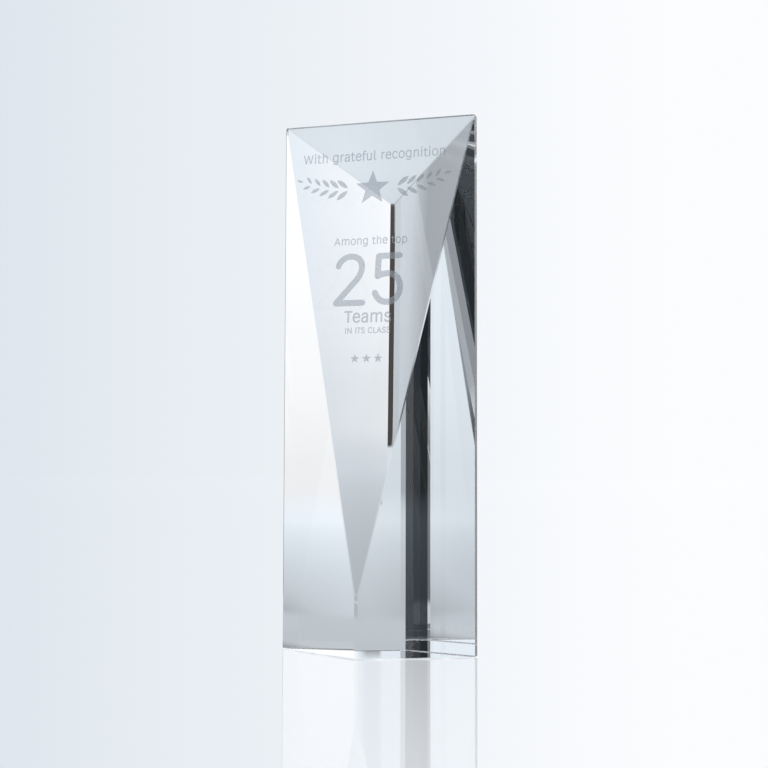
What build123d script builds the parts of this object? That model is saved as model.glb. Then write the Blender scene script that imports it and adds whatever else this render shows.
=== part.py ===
from build123d import *
import math
import os

# A faceted crystal award tower: one solid block of optical crystal that stands on its polished
# base. Its section is a slanted parallelogram with a narrow flat ground along each upright edge.
# A long triangular facet falls from the top ridge to a low point on the front edge and carries
# the sandblasted dedication. A short triangular facet falls from the same ridge down the back.
#
# Origin: centre of the base. +Z is up, +X runs along the top ridge and the dedication faces -Y.
# Lengths are millimetres and angles are degrees.

# Crystal block
HEIGHT = 228.6
LONG_SIDE = 54.0
SHORT_SIDE = 49.6
FRONT_ANGLE = 128.0
FRONT_FLAT = 1.5
BACK_FLAT = 2.3
SIDE_FLAT = 3.6
FRONT_FACET_TIP = 26.1
BACK_FACET_TIP = 194.0
ARRIS = 0.3

# Sandblasted marks. Places are on the front facet: x along the ridge, y up from the ridge.
ETCH_DEPTH = 0.3
MARK_X = -1.6
FONT = "singleline"
STAR_Y = -30.0
STAR_RADIUS = 8.0
STAR_WAIST = 0.42
SPRIG_START = 10.5
SPRIG_STEP = 4.3
SPRIG_PAIRS = 5
SPRIG_RISE = 0.9
LEAF_LENGTH = 6.4
LEAF_WIDTH = 2.1
LEAF_TAPER = 0.5
LEAF_ANGLE = 38.0
LEAF_GAP = 0.9
SMALL_STAR_Y = -104.6
SMALL_STAR_RADIUS = 2.1
SMALL_STAR_PITCH = 5.2

# Wording: node name, words, height of the baseline, letter size and stroke width.
# Letter outlines are made of straight runs, each about this share of the stroke width.
OUTLINE_STEP = 0.45
WORDING = [
    ("etched_recognition_line", "With grateful recognition", -17.2, 5.4, 0.55),
    ("etched_rank_line", "Among the top", -54.8, 4.6, 0.487),
    ("etched_numeral", "25", -80.4, 30.0, 2.7),
    ("etched_teams_word", "Teams", -88.8, 6.8, 0.805),
    ("etched_class_line", "IN ITS CLASS", -93.6, 3.4, 0.439),
]


def section_corners():
    """Front, right, back and left corners of the sharp parallelogram, long diagonal on X."""
    angle = math.radians(FRONT_ANGLE)
    diagonal = math.sqrt(
        LONG_SIDE**2 + SHORT_SIDE**2 - 2 * LONG_SIDE * SHORT_SIDE * math.cos(angle)
    )
    right_angle = math.asin(SHORT_SIDE * math.sin(angle) / diagonal)
    right = Vector(diagonal / 2, 0)
    front = right - Vector(LONG_SIDE * math.cos(right_angle), LONG_SIDE * math.sin(right_angle))
    return front, right, -front, -right


def ground_corner(before, corner, after, flat):
    """The two ends of the flat that takes the sharp corner off, in order."""
    to_before = (before - corner).normalized()
    to_after = (after - corner).normalized()
    half_angle = math.radians(to_before.get_angle(to_after)) / 2
    setback = flat / (2 * math.sin(half_angle))
    return corner + to_before * setback, corner + to_after * setback


def raised(point, z):
    """A section point lifted to height z."""
    return Vector(point.X, point.Y, z)


def facet_plane(start, end, tip):
    """Plane through two ridge ends and a low tip, with its normal pointing out of the block."""
    middle = (start + end) / 2
    along = (end - start).normalized()
    return Plane(origin=middle, x_dir=along, z_dir=along.cross(middle - tip))


def make_block():
    """The polished block before sandblasting, and the plane of its front facet."""
    front, right, back, left = section_corners()
    front_l, front_r = ground_corner(left, front, right, FRONT_FLAT)
    right_f, right_b = ground_corner(front, right, back, SIDE_FLAT)
    back_r, back_l = ground_corner(right, back, left, BACK_FLAT)
    left_b, left_f = ground_corner(back, left, front, SIDE_FLAT)
    outline = Polyline(
        front_l, front_r, right_f, right_b, back_r, back_l, left_b, left_f, close=True
    )
    block = extrude(make_face(outline), HEIGHT)
    front_facet = facet_plane(
        raised(left_f, HEIGHT),
        raised(right_f, HEIGHT),
        raised((front_l + front_r) / 2, FRONT_FACET_TIP),
    )
    back_facet = facet_plane(
        raised(right_b, HEIGHT),
        raised(left_b, HEIGHT),
        raised((back_l + back_r) / 2, BACK_FACET_TIP),
    )
    block = split(block, bisect_by=front_facet, keep=Keep.BOTTOM)
    block = split(block, bisect_by=back_facet, keep=Keep.BOTTOM)
    upright = block.edges().filter_by(Axis.Z)
    arrises = [edge for edge in block.edges() if edge not in upright]
    return chamfer(arrises, ARRIS), front_facet


def star(radius):
    """A five-pointed star with one point up."""
    points = []
    for tip in range(5):
        angle = math.radians(90 + 72 * tip)
        notch = angle + math.radians(36)
        points.append((radius * math.cos(angle), radius * math.sin(angle)))
        points.append((radius * STAR_WAIST * math.cos(notch), radius * STAR_WAIST * math.sin(notch)))
    return make_face(Polyline(*points, close=True))


def leaf(length, width):
    """A pointed leaf from the origin along +X."""
    upper = ThreePointArc((0, 0), (length / 2, width / 2), (length, 0))
    lower = ThreePointArc((length, 0), (length / 2, -width / 2), (0, 0))
    return make_face(upper + lower)


def sprig():
    """A laurel sprig of paired leaves that runs to +X with a slight upward bow."""
    leaves = []
    for pair in range(SPRIG_PAIRS):
        x = SPRIG_START + SPRIG_STEP * pair
        y = SPRIG_RISE * pair**2 / SPRIG_PAIRS
        lean = math.degrees(math.atan2(2 * SPRIG_RISE * pair / SPRIG_PAIRS, SPRIG_STEP))
        scale = 1 - LEAF_TAPER * pair / SPRIG_PAIRS
        shape = leaf(LEAF_LENGTH * scale, LEAF_WIDTH * scale)
        for side in (-1, 1):
            turn = Rot(0, 0, lean + side * LEAF_ANGLE)
            leaves.append(Pos(x, y) * turn * Pos(LEAF_GAP, 0) * shape)
    last = SPRIG_START + SPRIG_STEP * SPRIG_PAIRS
    end_leaf = leaf(LEAF_LENGTH * LEAF_TAPER, LEAF_WIDTH * LEAF_TAPER)
    leaves.append(Pos(last, SPRIG_RISE * SPRIG_PAIRS) * Rot(0, 0, LEAF_ANGLE / 2) * end_leaf)
    return leaves


def emblem_marks():
    """The large star, the sprig on each side of it and the row of small stars."""
    right_sprig = sprig()
    left_sprig = [mirror(shape, about=Plane.YZ) for shape in right_sprig]
    small = star(SMALL_STAR_RADIUS)
    row = [Pos(SMALL_STAR_PITCH * step, SMALL_STAR_Y) * small for step in (-1, 0, 1)]
    middle = Pos(0, STAR_Y)
    return {
        "etched_star": [middle * star(STAR_RADIUS)],
        "etched_laurel_left": [middle * shape for shape in left_sprig],
        "etched_laurel_right": [middle * shape for shape in right_sprig],
        "etched_small_stars": row,
    }


def straight_outline(wire, step):
    """A closed outline of straight runs that follows a wire."""
    runs = math.ceil(wire.length / step)
    return Polyline(*[wire @ (run / runs) for run in range(runs)], close=True)


def letter(face, step):
    """A letter's face, with any counter left open, bounded by straight runs."""
    shape = make_face(straight_outline(face.outer_wire(), step))
    for counter in face.inner_wires():
        shape -= make_face(straight_outline(counter, step))
    return shape


def wording_marks():
    """Each line of generic wording as separate letters, centred and standing on its baseline."""
    marks = {}
    for name, words, baseline, size, stroke in WORDING:
        line = Text(
            words,
            font_size=size,
            font=FONT,
            single_line_width=stroke,
            text_align=(TextAlign.CENTER, TextAlign.BOTTOM),
        )
        step = stroke * OUTLINE_STEP
        marks[name] = [Pos(0, baseline) * letter(face, step) for face in line.faces()]
    return marks


def etch(faces, facet):
    """Thin frosted solids that reach from the facet's surface down to the etch depth."""
    solids = []
    for face in faces:
        placed = facet * Pos(MARK_X, 0) * face
        inward = -facet.z_dir
        solids.append(extrude(placed, ETCH_DEPTH, dir=inward))
    return solids


def write(name, solids):
    """Writes one node, which is one solid or a group of separate solids."""
    shape = solids[0] if len(solids) == 1 else Compound(children=solids)
    shape.label = name
    export_step(shape, f"parts/{name}.step")


os.makedirs("parts", exist_ok=True)
block, front_facet = make_block()
marks = {**emblem_marks(), **wording_marks()}
frosting = {name: etch(faces, front_facet) for name, faces in marks.items()}
block = block - [solid for solids in frosting.values() for solid in solids]
write("crystal_block", [block])
for name, solids in frosting.items():
    write(name, solids)
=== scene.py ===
import math

import bpy
from mathutils import Matrix, Vector


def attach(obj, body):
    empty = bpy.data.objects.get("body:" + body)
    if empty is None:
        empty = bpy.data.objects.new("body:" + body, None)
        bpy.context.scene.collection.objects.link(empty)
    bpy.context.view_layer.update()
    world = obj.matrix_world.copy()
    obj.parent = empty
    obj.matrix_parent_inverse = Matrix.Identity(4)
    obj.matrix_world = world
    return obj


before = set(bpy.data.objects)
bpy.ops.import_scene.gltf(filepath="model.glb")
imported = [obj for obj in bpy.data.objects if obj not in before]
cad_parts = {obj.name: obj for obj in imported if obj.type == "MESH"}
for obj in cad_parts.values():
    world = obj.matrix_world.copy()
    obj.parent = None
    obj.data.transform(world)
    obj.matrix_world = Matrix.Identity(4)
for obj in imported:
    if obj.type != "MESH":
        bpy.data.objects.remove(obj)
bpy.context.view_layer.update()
scene = bpy.context.scene

BLOCK = "crystal_block"
MARKS = [name for name in sorted(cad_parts) if name != BLOCK]

# Camera, in metres and degrees. A bearing or azimuth of 0 looks along +Y and 90 along -X.
CAMERA_DISTANCE = 0.5808
CAMERA_BEARING = 17.92
CAMERA_HEIGHT = 0.0806
LOOK_AZIMUTH = 17.703
LOOK_PITCH = 3.33
LOOK_ROLL = 0.17
LENS_MM = 63.34
SENSOR_MM = 36.0
CLIP_NEAR = 0.01
CLIP_FAR = 100.0

# Where the sandblasted marks lie, in metres. They reach from the facet down to the etch depth, and
# a surface within the tolerance of a depth is at it.
ETCH_DEPTH = 0.0003
DEPTH_TOLERANCE = 0.2 * ETCH_DEPTH
MARK_HALF_WIDTH = 0.037

# How squarely a surface faces along a direction: 1 straight along it and 0 across it
ALONG_FACET = 0.99
ACROSS_FACET = 0.3
FLAT_LEAN = 0.999
LEVEL_LEAN = 0.01
# The front and back facets are the largest faces whose outward normal rises by more than this,
# and goes forward or back past these parts of it along Y
FACET_RISE = 0.05
FRONT_FACET_Y = -0.98
BACK_FACET_Y = 0.5

# Polished crystal, with its sizes in metres
CRYSTAL_IOR = 1.517
RIPPLE_SIZE = 0.012
RIPPLE_HEIGHT = 0.000003
RIPPLE_DETAIL = 2.0
ARRIS_ROUGHNESS = 0.25

# Frosted crystal: a fine grain and wider patches, each with a noise detail and the noise levels
# that it spreads between, and the shares of white powder and of blurred glass that they vary
GRAIN_SIZE = 0.0004
GRAIN_DETAIL = 3.0
PATCH_SIZE = 0.004
PATCH_DETAIL = 2.0
NOISE_SPREAD = (0.3, 0.7)
POWDER_BY_GRAIN = (0.1, 0.22)
POWDER_BY_PATCH = (0.0, 0.05)
BLUR_BY_GRAIN = (0.15, 0.35)
FROST_ROUGHNESS = 0.45
FROST_CLEAR = (0.4, 0.43, 0.47, 1.0)
FROST_THIN = (0.45, 0.48, 0.52, 1.0)
FROST_POWDER = (0.42, 0.45, 0.49, 1.0)
MIRROR_FROM = 0.9

# Floor and the table that the crystal sees, in metres
FLOOR_IOR = 1.4
FLOOR_ROUGHNESS = 0.03
FLOOR_HALF_SIZE = 6.0
FLOOR_HEIGHT = -0.0003
TABLE_HALF_SIZE = 20.0
TABLE_HEIGHT = -0.0004

WHITE = (1.0, 1.0, 1.0, 1.0)
FULL_TURN = (-180.0, 180.0)

# Tints of the studio's light
PALE = (0.99, 1.0, 1.02)
COOL = (0.92, 1.0, 1.08)
SMOKE = (0.76, 1.0, 1.2)
WARM = (1.1, 0.98, 0.92)

# Panels round the award that the crystal shows, with soft edges between them: from azimuth, to
# azimuth, light level and tint
PANELS = [
    (-180, -130, 0.05, SMOKE),
    (-118, -42, 0.95, PALE),
    (-36, -16.5, 0.2, COOL),
    (-14, 2, 1.05, PALE),
    (8, 23, 0.85, COOL),
    (24.5, 36, 0.5, COOL),
    (38.5, 41, 0.47, COOL),
    (42.6, 47, 0.78, COOL),
    (50, 58, 0.6, COOL),
    (62, 84, 0.33, COOL),
    (95, 108, 0.03, SMOKE),
    (113, 126, 0.015, SMOKE),
    (138, 151, 0.03, SMOKE),
    (156, 180, 0.015, SMOKE),
]
# A narrow dark post in front of them. Each pair is a soft edge: azimuths where it starts and ends,
# the distance in metres past which it stands in front of the table, and the heights above the
# table, in degrees, between which it thins to its share at the top
POST_START = (17.75, 17.88)
POST_END = (18.4, 18.7)
POST_DARK = 0.07
POST_FOOT = (2.0, 2.15)
POST_TOP = (7.6, 8.1)
POST_TOP_SHARE = 0.2

# The table near the award, as painted light: azimuth, painted light level and tint. The dip near
# azimuth 5 is a painted shadow of the award
TABLE_SIDES = [
    (-180, 0.08, SMOKE),
    (-120, 0.6, PALE),
    (-40, 0.3, COOL),
    (-16, 0.25, COOL),
    (-13, 1.15, COOL),
    (-2, 1.02, COOL),
    (5, 0.78, COOL),
    (13, 0.85, COOL),
    (20, 0.98, COOL),
    (32, 0.8, COOL),
    (60, 0.1, SMOKE),
    (100, 0.06, SMOKE),
    (180, 0.06, SMOKE),
]
# Share of the table's level by distance from the award in metres, with the award's painted shade
# nearest
TABLE_REACH = [(0.0, 0.58), (0.2, 0.62), (0.6, 0.73), (1.3, 0.88), (2.4, 0.89), (6.0, 0.9)]
# Distances between which the near table gives way to the panels' own light on it
TABLE_FADE = (0.8, 3.5)
# The even patch of painted light on the table just behind the award: its centre, its soft edge and
# its level
BRIGHT_CENTRE = (0.0, 0.07, 0.0)
BRIGHT_EDGE = (0.05, 0.1)
BRIGHT_LEVEL = 1.0

# The pale backdrop by azimuth, and the share of it by azimuth that mirror reflections in the
# crystal see
BACKDROP = [
    (-180, 0.78, COOL),
    (-50, 0.78, COOL),
    (-12, 0.98, PALE),
    (6, 0.98, PALE),
    (36, 0.78, COOL),
    (180, 0.78, COOL),
]
ROOM = [(-180, 0.05), (-142, 0.08), (-110, 1.0), (80, 1.0), (100, 0.08), (180, 0.05)]
# Share of the panels' level by height above the table, in degrees
STUDIO_RISE = [(0.0, 0.9), (3.0, 0.98), (8.0, 1.04), (20.0, 1.12)]

# How many times a ray may bounce, in all and by each of reflection and refraction
BOUNCES = 32
CRYSTAL_BOUNCES = 24


def tinted(level, tint):
    """A light level with its tint, as red, green and blue."""
    return tuple(level * channel for channel in tint)


def panel_stops():
    """Two stops a panel, so that each is even and its edges are soft."""
    stops = []
    for start, end, level, tint in PANELS:
        stops.append((start, tinted(level, tint)))
        stops.append((end, tinted(level, tint)))
    return stops


def tinted_stops(levels):
    """Ramp stops from a list of places, light levels and tints."""
    return [(place, tinted(level, tint)) for place, level, tint in levels]


def new_material(name):
    """A node material with nothing but its output."""
    material = bpy.data.materials.new(name)
    material.use_nodes = True
    material.node_tree.nodes.clear()
    material.node_tree.nodes.new("ShaderNodeOutputMaterial")
    return material


class Nodes:
    """Short ways to add and link nodes in one tree."""

    def __init__(self, tree):
        self.tree = tree

    def add(self, kind, **settings):
        node = self.tree.nodes.new(kind)
        for key, value in settings.items():
            setattr(node, key, value)
        return node

    def link(self, source, target):
        self.tree.links.new(source, target)

    def put(self, socket, value):
        if isinstance(value, bpy.types.NodeSocket):
            self.link(value, socket)
        else:
            socket.default_value = value

    def math(self, operation, first, second=0.0):
        node = self.add("ShaderNodeMath", operation=operation)
        self.put(node.inputs[0], first)
        self.put(node.inputs[1], second)
        return node.outputs[0]

    def vector(self, operation, first, second=(0.0, 0.0, 0.0)):
        node = self.add("ShaderNodeVectorMath", operation=operation)
        self.put(node.inputs[0], first)
        self.put(node.inputs[1], second)
        return node

    def fit(self, value, low, high, to_low=0.0, to_high=1.0, smooth=False):
        """The value mapped from the range low to high to another range, and kept inside it."""
        node = self.add("ShaderNodeMapRange")
        node.interpolation_type = "SMOOTHSTEP" if smooth else "LINEAR"
        self.put(node.inputs["Value"], value)
        ends = {"From Min": low, "From Max": high, "To Min": to_low, "To Max": to_high}
        for key, number in ends.items():
            node.inputs[key].default_value = number
        return node.outputs["Result"]

    def ramp(self, value, stops, low, high):
        """A colour ramp whose stops are colours or plain levels, placed in the value's own units."""
        node = self.add("ShaderNodeValToRGB")
        self.put(node.inputs["Fac"], self.fit(value, low, high))
        elements = node.color_ramp.elements
        while len(elements) < len(stops):
            elements.new(1.0)
        for index, (place, colour) in enumerate(stops):
            shade = colour if isinstance(colour, tuple) else (colour, colour, colour)
            elements[index].position = (place - low) / (high - low)
            elements[index].color = (*shade, 1.0)
        return node.outputs["Color"]

    def choose(self, factor, first, second):
        """The first colour where the factor is 0 and the second where it is 1."""
        node = self.add("ShaderNodeMix", data_type="RGBA")
        self.put(node.inputs["Factor"], factor)
        self.put(node.inputs["A"], first)
        self.put(node.inputs["B"], second)
        return node.outputs["Result"]

    def mix_shaders(self, factor, first, second):
        """The first shader where the factor is 0 and the second where it is 1."""
        node = self.add("ShaderNodeMixShader")
        self.put(node.inputs[0], factor)
        self.link(first, node.inputs[1])
        self.link(second, node.inputs[2])
        return node.outputs[0]

    def scale(self, colour, factor):
        """One colour times another."""
        node = self.add("ShaderNodeMix", data_type="RGBA", blend_type="MULTIPLY")
        self.put(node.inputs["Factor"], 1.0)
        self.put(node.inputs["A"], colour)
        self.put(node.inputs["B"], factor)
        return node.outputs["Result"]

    def parts(self, vector):
        """The X, Y and Z sockets of a vector."""
        node = self.add("ShaderNodeSeparateXYZ")
        self.put(node.inputs[0], vector)
        return node.outputs

    def azimuth(self, vector):
        """Degrees round the vertical axis, 0 along +Y and 90 along -X."""
        parts = self.parts(vector)
        angle = self.math("ARCTAN2", self.math("MULTIPLY", parts["X"], -1.0), parts["Y"])
        return self.math("DEGREES", angle)

    def behind_post(self, azimuth, level, share):
        """A level with a share of the dark post in front of it."""
        after_start = self.fit(azimuth, *POST_START)
        before_end = self.fit(azimuth, *POST_END, 1.0, 0.0)
        post = self.math("MULTIPLY", self.math("MULTIPLY", after_start, before_end), share)
        return self.choose(post, level, (*tinted(POST_DARK, WARM), 1.0))


def make_camera():
    """The camera at the photograph's place, angle and lens."""
    bearing = math.radians(CAMERA_BEARING)
    azimuth = math.radians(LOOK_AZIMUTH)
    pitch = math.radians(LOOK_PITCH)
    forward = Vector((
        -math.sin(azimuth) * math.cos(pitch),
        math.cos(azimuth) * math.cos(pitch),
        math.sin(pitch),
    ))
    level = Vector((math.cos(azimuth), math.sin(azimuth), 0.0))
    turn = Matrix.Rotation(-math.radians(LOOK_ROLL), 3, forward)
    right = turn @ level
    up = right.cross(forward)
    data = bpy.data.cameras.new("camera")
    data.lens = LENS_MM
    data.sensor_width = SENSOR_MM
    data.clip_start = CLIP_NEAR
    data.clip_end = CLIP_FAR
    camera = bpy.data.objects.new("camera", data)
    scene.collection.objects.link(camera)
    placed = Matrix((right, up, -forward)).transposed().to_4x4()
    placed.translation = (
        CAMERA_DISTANCE * math.sin(bearing),
        -CAMERA_DISTANCE * math.cos(bearing),
        CAMERA_HEIGHT,
    )
    camera.matrix_world = placed
    scene.camera = camera


def facet_frame():
    """A point on the front facet and its outward normal, from the facet's largest mesh face."""
    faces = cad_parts[BLOCK].data.polygons
    rising = [face for face in faces if face.normal.z > FACET_RISE]
    forward = [face for face in rising if face.normal.y < FRONT_FACET_Y]
    widest = max(forward, key=lambda face: face.area)
    return widest.center.copy(), widest.normal.copy()


def back_facet_normal():
    """Outward normal of the short facet that falls down the back."""
    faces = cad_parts[BLOCK].data.polygons
    rising = [face for face in faces if face.normal.z > FACET_RISE]
    backward = [face for face in rising if face.normal.y > BACK_FACET_Y]
    return max(backward, key=lambda face: face.area).normal.copy()


def lean_from(nodes, surface, direction):
    """How squarely a surface faces along a direction, either way round."""
    lean = nodes.vector("DOT_PRODUCT", surface.outputs["True Normal"], tuple(direction))
    return nodes.math("ABSOLUTE", lean.outputs["Value"])


def facet_measures(nodes, surface):
    """Depth below the front facet in metres, and how squarely a surface faces out of it."""
    point, normal = facet_frame()
    offset = nodes.vector("SUBTRACT", surface.outputs["Position"], tuple(point)).outputs["Vector"]
    depth = nodes.vector("DOT_PRODUCT", offset, tuple(-normal)).outputs["Value"]
    return depth, lean_from(nodes, surface, normal)


def surface_of(material, nodes, shader):
    """The material with a shader as its surface."""
    nodes.link(shader, material.node_tree.nodes["Material Output"].inputs["Surface"])
    return material


def crystal_shader(nodes, roughness=0.0, colour=WHITE, normal=None):
    """Refracting crystal, as clear as its roughness and colour let it be."""
    shader = nodes.add("ShaderNodeBsdfPrincipled")
    if normal:
        nodes.link(normal, shader.inputs["Normal"])
    nodes.put(shader.inputs["Base Color"], colour)
    nodes.put(shader.inputs["Roughness"], roughness)
    shader.inputs["Transmission Weight"].default_value = 1.0
    shader.inputs["IOR"].default_value = CRYSTAL_IOR
    return shader.outputs[0]


def pocket_mask(nodes, surface):
    """1 on the walls and floors of the pockets that hold the sandblasted marks."""
    depth, lean = facet_measures(nodes, surface)
    not_below = nodes.math("LESS_THAN", depth, ETCH_DEPTH + DEPTH_TOLERANCE)
    deep = nodes.math("GREATER_THAN", depth, ETCH_DEPTH - DEPTH_TOLERANCE)
    floor = nodes.math("MULTIPLY", deep, nodes.math("GREATER_THAN", lean, ALONG_FACET))
    wall = nodes.math("LESS_THAN", lean, ACROSS_FACET)
    pocket = nodes.math("MULTIPLY", not_below, nodes.math("MAXIMUM", floor, wall))
    across = nodes.math("ABSOLUTE", nodes.parts(surface.outputs["Position"])["X"])
    inside = nodes.math("LESS_THAN", across, MARK_HALF_WIDTH)
    return nodes.math("MULTIPLY", pocket, inside)


def arris_mask(nodes, surface):
    """1 on the narrow bevels, which face neither along a facet, level nor straight down."""
    up = lean_from(nodes, surface, (0.0, 0.0, 1.0))
    flats = [
        nodes.math("LESS_THAN", up, LEVEL_LEAN),
        nodes.math("GREATER_THAN", up, FLAT_LEAN),
        nodes.math("GREATER_THAN", lean_from(nodes, surface, facet_frame()[1]), FLAT_LEAN),
        nodes.math("GREATER_THAN", lean_from(nodes, surface, back_facet_normal()), FLAT_LEAN),
    ]
    flat = flats[0]
    for other in flats[1:]:
        flat = nodes.math("MAXIMUM", flat, other)
    return nodes.math("SUBTRACT", 1.0, flat)


def noise(nodes, surface, size, detail):
    """Noise over a surface whose blotches are about a given size in metres."""
    texture = nodes.add("ShaderNodeTexNoise")
    nodes.link(surface.outputs["Position"], texture.inputs["Vector"])
    texture.inputs["Scale"].default_value = 1.0 / size
    texture.inputs["Detail"].default_value = detail
    return texture.outputs["Fac"]


def ripple(nodes, surface):
    """The faint waviness that lapping leaves on a flat face of crystal."""
    bump = nodes.add("ShaderNodeBump")
    bump.inputs["Strength"].default_value = 1.0
    bump.inputs["Distance"].default_value = RIPPLE_HEIGHT
    nodes.link(noise(nodes, surface, RIPPLE_SIZE, RIPPLE_DETAIL), bump.inputs["Height"])
    return bump.outputs["Normal"]


def crystal_material():
    """Clear optical crystal, polished, with finely ground bevels.

    Crystal goes on unbroken into the etched marks, so the pockets that hold them are not seen.
    """
    material = new_material("optical_crystal")
    nodes = Nodes(material.node_tree)
    surface = nodes.add("ShaderNodeNewGeometry")
    ground = nodes.math("MULTIPLY", arris_mask(nodes, surface), ARRIS_ROUGHNESS)
    clear = crystal_shader(nodes, ground, normal=ripple(nodes, surface))
    unseen = nodes.add("ShaderNodeBsdfTransparent")
    mix = nodes.mix_shaders(pocket_mask(nodes, surface), clear, unseen.outputs[0])
    return surface_of(material, nodes, mix)


def frosted_skin(nodes, surface):
    """A grainy mix of clear crystal, blurred crystal and white powder."""
    grain = nodes.fit(noise(nodes, surface, GRAIN_SIZE, GRAIN_DETAIL), *NOISE_SPREAD)
    patches = nodes.fit(noise(nodes, surface, PATCH_SIZE, PATCH_DETAIL), *NOISE_SPREAD)
    tint = nodes.choose(patches, FROST_CLEAR, FROST_THIN)
    clear = crystal_shader(nodes, 0.0, tint)
    blurred = crystal_shader(nodes, FROST_ROUGHNESS, tint)
    through = nodes.mix_shaders(nodes.fit(grain, 0.0, 1.0, *BLUR_BY_GRAIN), clear, blurred)
    powder = nodes.add("ShaderNodeBsdfDiffuse")
    powder.inputs["Color"].default_value = FROST_POWDER
    by_grain = nodes.fit(grain, 0.0, 1.0, *POWDER_BY_GRAIN)
    by_patch = nodes.fit(patches, 0.0, 1.0, *POWDER_BY_PATCH)
    return nodes.mix_shaders(nodes.math("ADD", by_grain, by_patch), through, powder.outputs[0])


def skin_mask(nodes, surface):
    """1 on the top of a mark, level with the front facet."""
    depth, lean = facet_measures(nodes, surface)
    at_facet = nodes.math("LESS_THAN", nodes.math("ABSOLUTE", depth), DEPTH_TOLERANCE)
    return nodes.math("MULTIPLY", at_facet, nodes.math("GREATER_THAN", lean, ALONG_FACET))


def frost_material():
    """Sandblasted crystal: only the skin of a mark shows, as a fine grey grain.

    Where the skin is seen from inside at a glancing angle it mirrors like the polished facet.
    """
    material = new_material("frosted_etch")
    nodes = Nodes(material.node_tree)
    surface = nodes.add("ShaderNodeNewGeometry")
    fresnel = nodes.add("ShaderNodeFresnel")
    fresnel.inputs["IOR"].default_value = CRYSTAL_IOR
    mirrors = nodes.math("GREATER_THAN", fresnel.outputs[0], MIRROR_FROM)
    skin = nodes.mix_shaders(mirrors, frosted_skin(nodes, surface), crystal_shader(nodes))
    unseen = nodes.add("ShaderNodeBsdfTransparent")
    mix = nodes.mix_shaders(skin_mask(nodes, surface), unseen.outputs[0], skin)
    return surface_of(material, nodes, mix)


def plane(name, half_size, z, material):
    """A level square of the studio, centred under the award."""
    sides = [(-1, -1), (1, -1), (1, 1), (-1, 1)]
    corners = [(x * half_size, y * half_size, z) for x, y in sides]
    mesh = bpy.data.meshes.new(name)
    mesh.from_pydata(corners, [], [(0, 1, 2, 3)])
    mesh.materials.append(material)
    placed = bpy.data.objects.new(name, mesh)
    scene.collection.objects.link(placed)
    return placed


def floor_material():
    """A clear gloss over the pale backdrop, which carries on below it, so no horizon shows."""
    material = new_material("floor_gloss")
    nodes = Nodes(material.node_tree)
    gloss = nodes.add("ShaderNodeBsdfGlossy")
    gloss.inputs["Color"].default_value = WHITE
    gloss.inputs["Roughness"].default_value = FLOOR_ROUGHNESS
    clear = nodes.add("ShaderNodeBsdfTransparent")
    sheen = nodes.add("ShaderNodeFresnel")
    sheen.inputs["IOR"].default_value = FLOOR_IOR
    mix = nodes.mix_shaders(sheen.outputs[0], clear.outputs[0], gloss.outputs[0])
    return surface_of(material, nodes, mix)


def table_material():
    """What the crystal sees of the table, as painted light and shade: its own levels close by and
    the panels' far off.
    """
    material = new_material("table_glow")
    nodes = Nodes(material.node_tree)
    place = nodes.add("ShaderNodeNewGeometry").outputs["Position"]
    distance = nodes.vector("LENGTH", place).outputs["Value"]
    azimuth = nodes.azimuth(place)
    # Painted light on the table by azimuth, with a painted shadow of the award in it
    near = nodes.ramp(azimuth, tinted_stops(TABLE_SIDES), *FULL_TURN)
    # A painted even patch of light just behind the award
    from_bright = nodes.vector("DISTANCE", place, BRIGHT_CENTRE).outputs["Value"]
    bright = nodes.fit(from_bright, *BRIGHT_EDGE, 1.0, 0.0, smooth=True)
    near = nodes.choose(bright, near, (*tinted(BRIGHT_LEVEL, COOL), 1.0))
    far = nodes.fit(distance, *TABLE_FADE, smooth=True)
    level = nodes.choose(far, near, nodes.ramp(azimuth, panel_stops(), *FULL_TURN))
    level = nodes.behind_post(azimuth, level, nodes.fit(distance, *POST_FOOT))
    # Painted shade of the award, deepest next to it
    level = nodes.scale(level, nodes.ramp(distance, TABLE_REACH, 0.0, TABLE_REACH[-1][0]))
    glow = nodes.add("ShaderNodeEmission")
    nodes.link(level, glow.inputs["Color"])
    return surface_of(material, nodes, glow.outputs[0])


def make_floor():
    """The glossy floor, and the table that only rays through the crystal see."""
    floor = plane("floor", FLOOR_HALF_SIZE, FLOOR_HEIGHT, floor_material())
    floor.visible_transmission = False
    floor.visible_glossy = False
    table = plane("studio_table", TABLE_HALF_SIZE, TABLE_HEIGHT, table_material())
    table.visible_camera = False
    table.visible_diffuse = False
    table.visible_glossy = False
    table.visible_shadow = False


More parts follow.
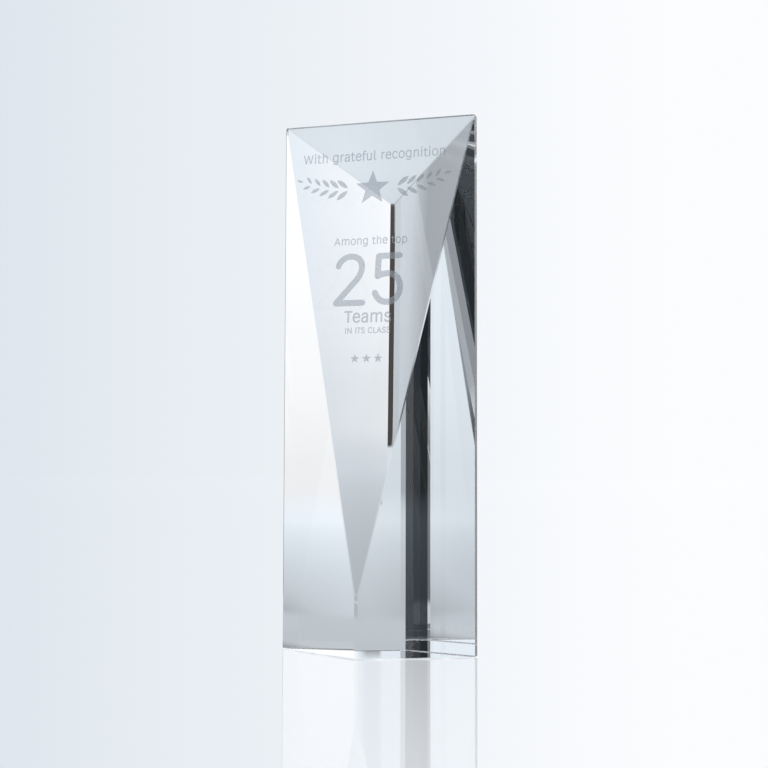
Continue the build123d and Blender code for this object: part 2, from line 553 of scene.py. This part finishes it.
def make_world():
    """The studio, by what a ray has met.

    Rays through the crystal see the panels and the post, the camera and the floor's gloss see the
    pale backdrop, mirror reflections see the dimmer room and rough surfaces see even white.
    """
    world = bpy.data.worlds.new("studio")
    scene.world = world
    world.use_nodes = True
    world.node_tree.nodes.clear()
    nodes = Nodes(world.node_tree)
    direction = nodes.add("ShaderNodeTexCoord").outputs["Generated"]
    azimuth = nodes.azimuth(direction)
    rise = nodes.math("DEGREES", nodes.math("ARCSINE", nodes.parts(direction)["Z"]))
    level = nodes.ramp(azimuth, panel_stops(), *FULL_TURN)
    level = nodes.behind_post(azimuth, level, nodes.fit(rise, *POST_TOP, 1.0, POST_TOP_SHARE))
    level = nodes.scale(level, nodes.ramp(rise, STUDIO_RISE, 0.0, STUDIO_RISE[-1][0]))
    backdrop = nodes.ramp(azimuth, tinted_stops(BACKDROP), *FULL_TURN)
    room = nodes.scale(backdrop, nodes.ramp(azimuth, ROOM, *FULL_TURN))
    ray = nodes.add("ShaderNodeLightPath").outputs
    gloss = nodes.choose(ray["Is Singular Ray"], backdrop, room)
    seen = nodes.choose(ray["Is Glossy Ray"], level, gloss)
    seen = nodes.choose(ray["Is Diffuse Ray"], seen, WHITE)
    seen = nodes.choose(ray["Is Transmission Ray"], seen, level)
    seen = nodes.choose(ray["Is Camera Ray"], seen, backdrop)
    glow = nodes.add("ShaderNodeBackground")
    nodes.link(seen, glow.inputs["Color"])
    output = nodes.add("ShaderNodeOutputWorld")
    nodes.link(glow.outputs[0], output.inputs["Surface"])


def dress(node, material):
    """Puts a material on a CAD node."""
    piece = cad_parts[node]
    piece.data.materials.clear()
    piece.data.materials.append(material)
    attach(piece, "root")


make_camera()
dress(BLOCK, crystal_material())
frost = frost_material()
for name in MARKS:
    dress(name, frost)
make_floor()
make_world()
scene.view_settings.view_transform = "Standard"
scene.cycles.max_bounces = BOUNCES
scene.cycles.glossy_bounces = CRYSTAL_BOUNCES
scene.cycles.transmission_bounces = CRYSTAL_BOUNCES
scene.cycles.transparent_max_bounces = BOUNCES
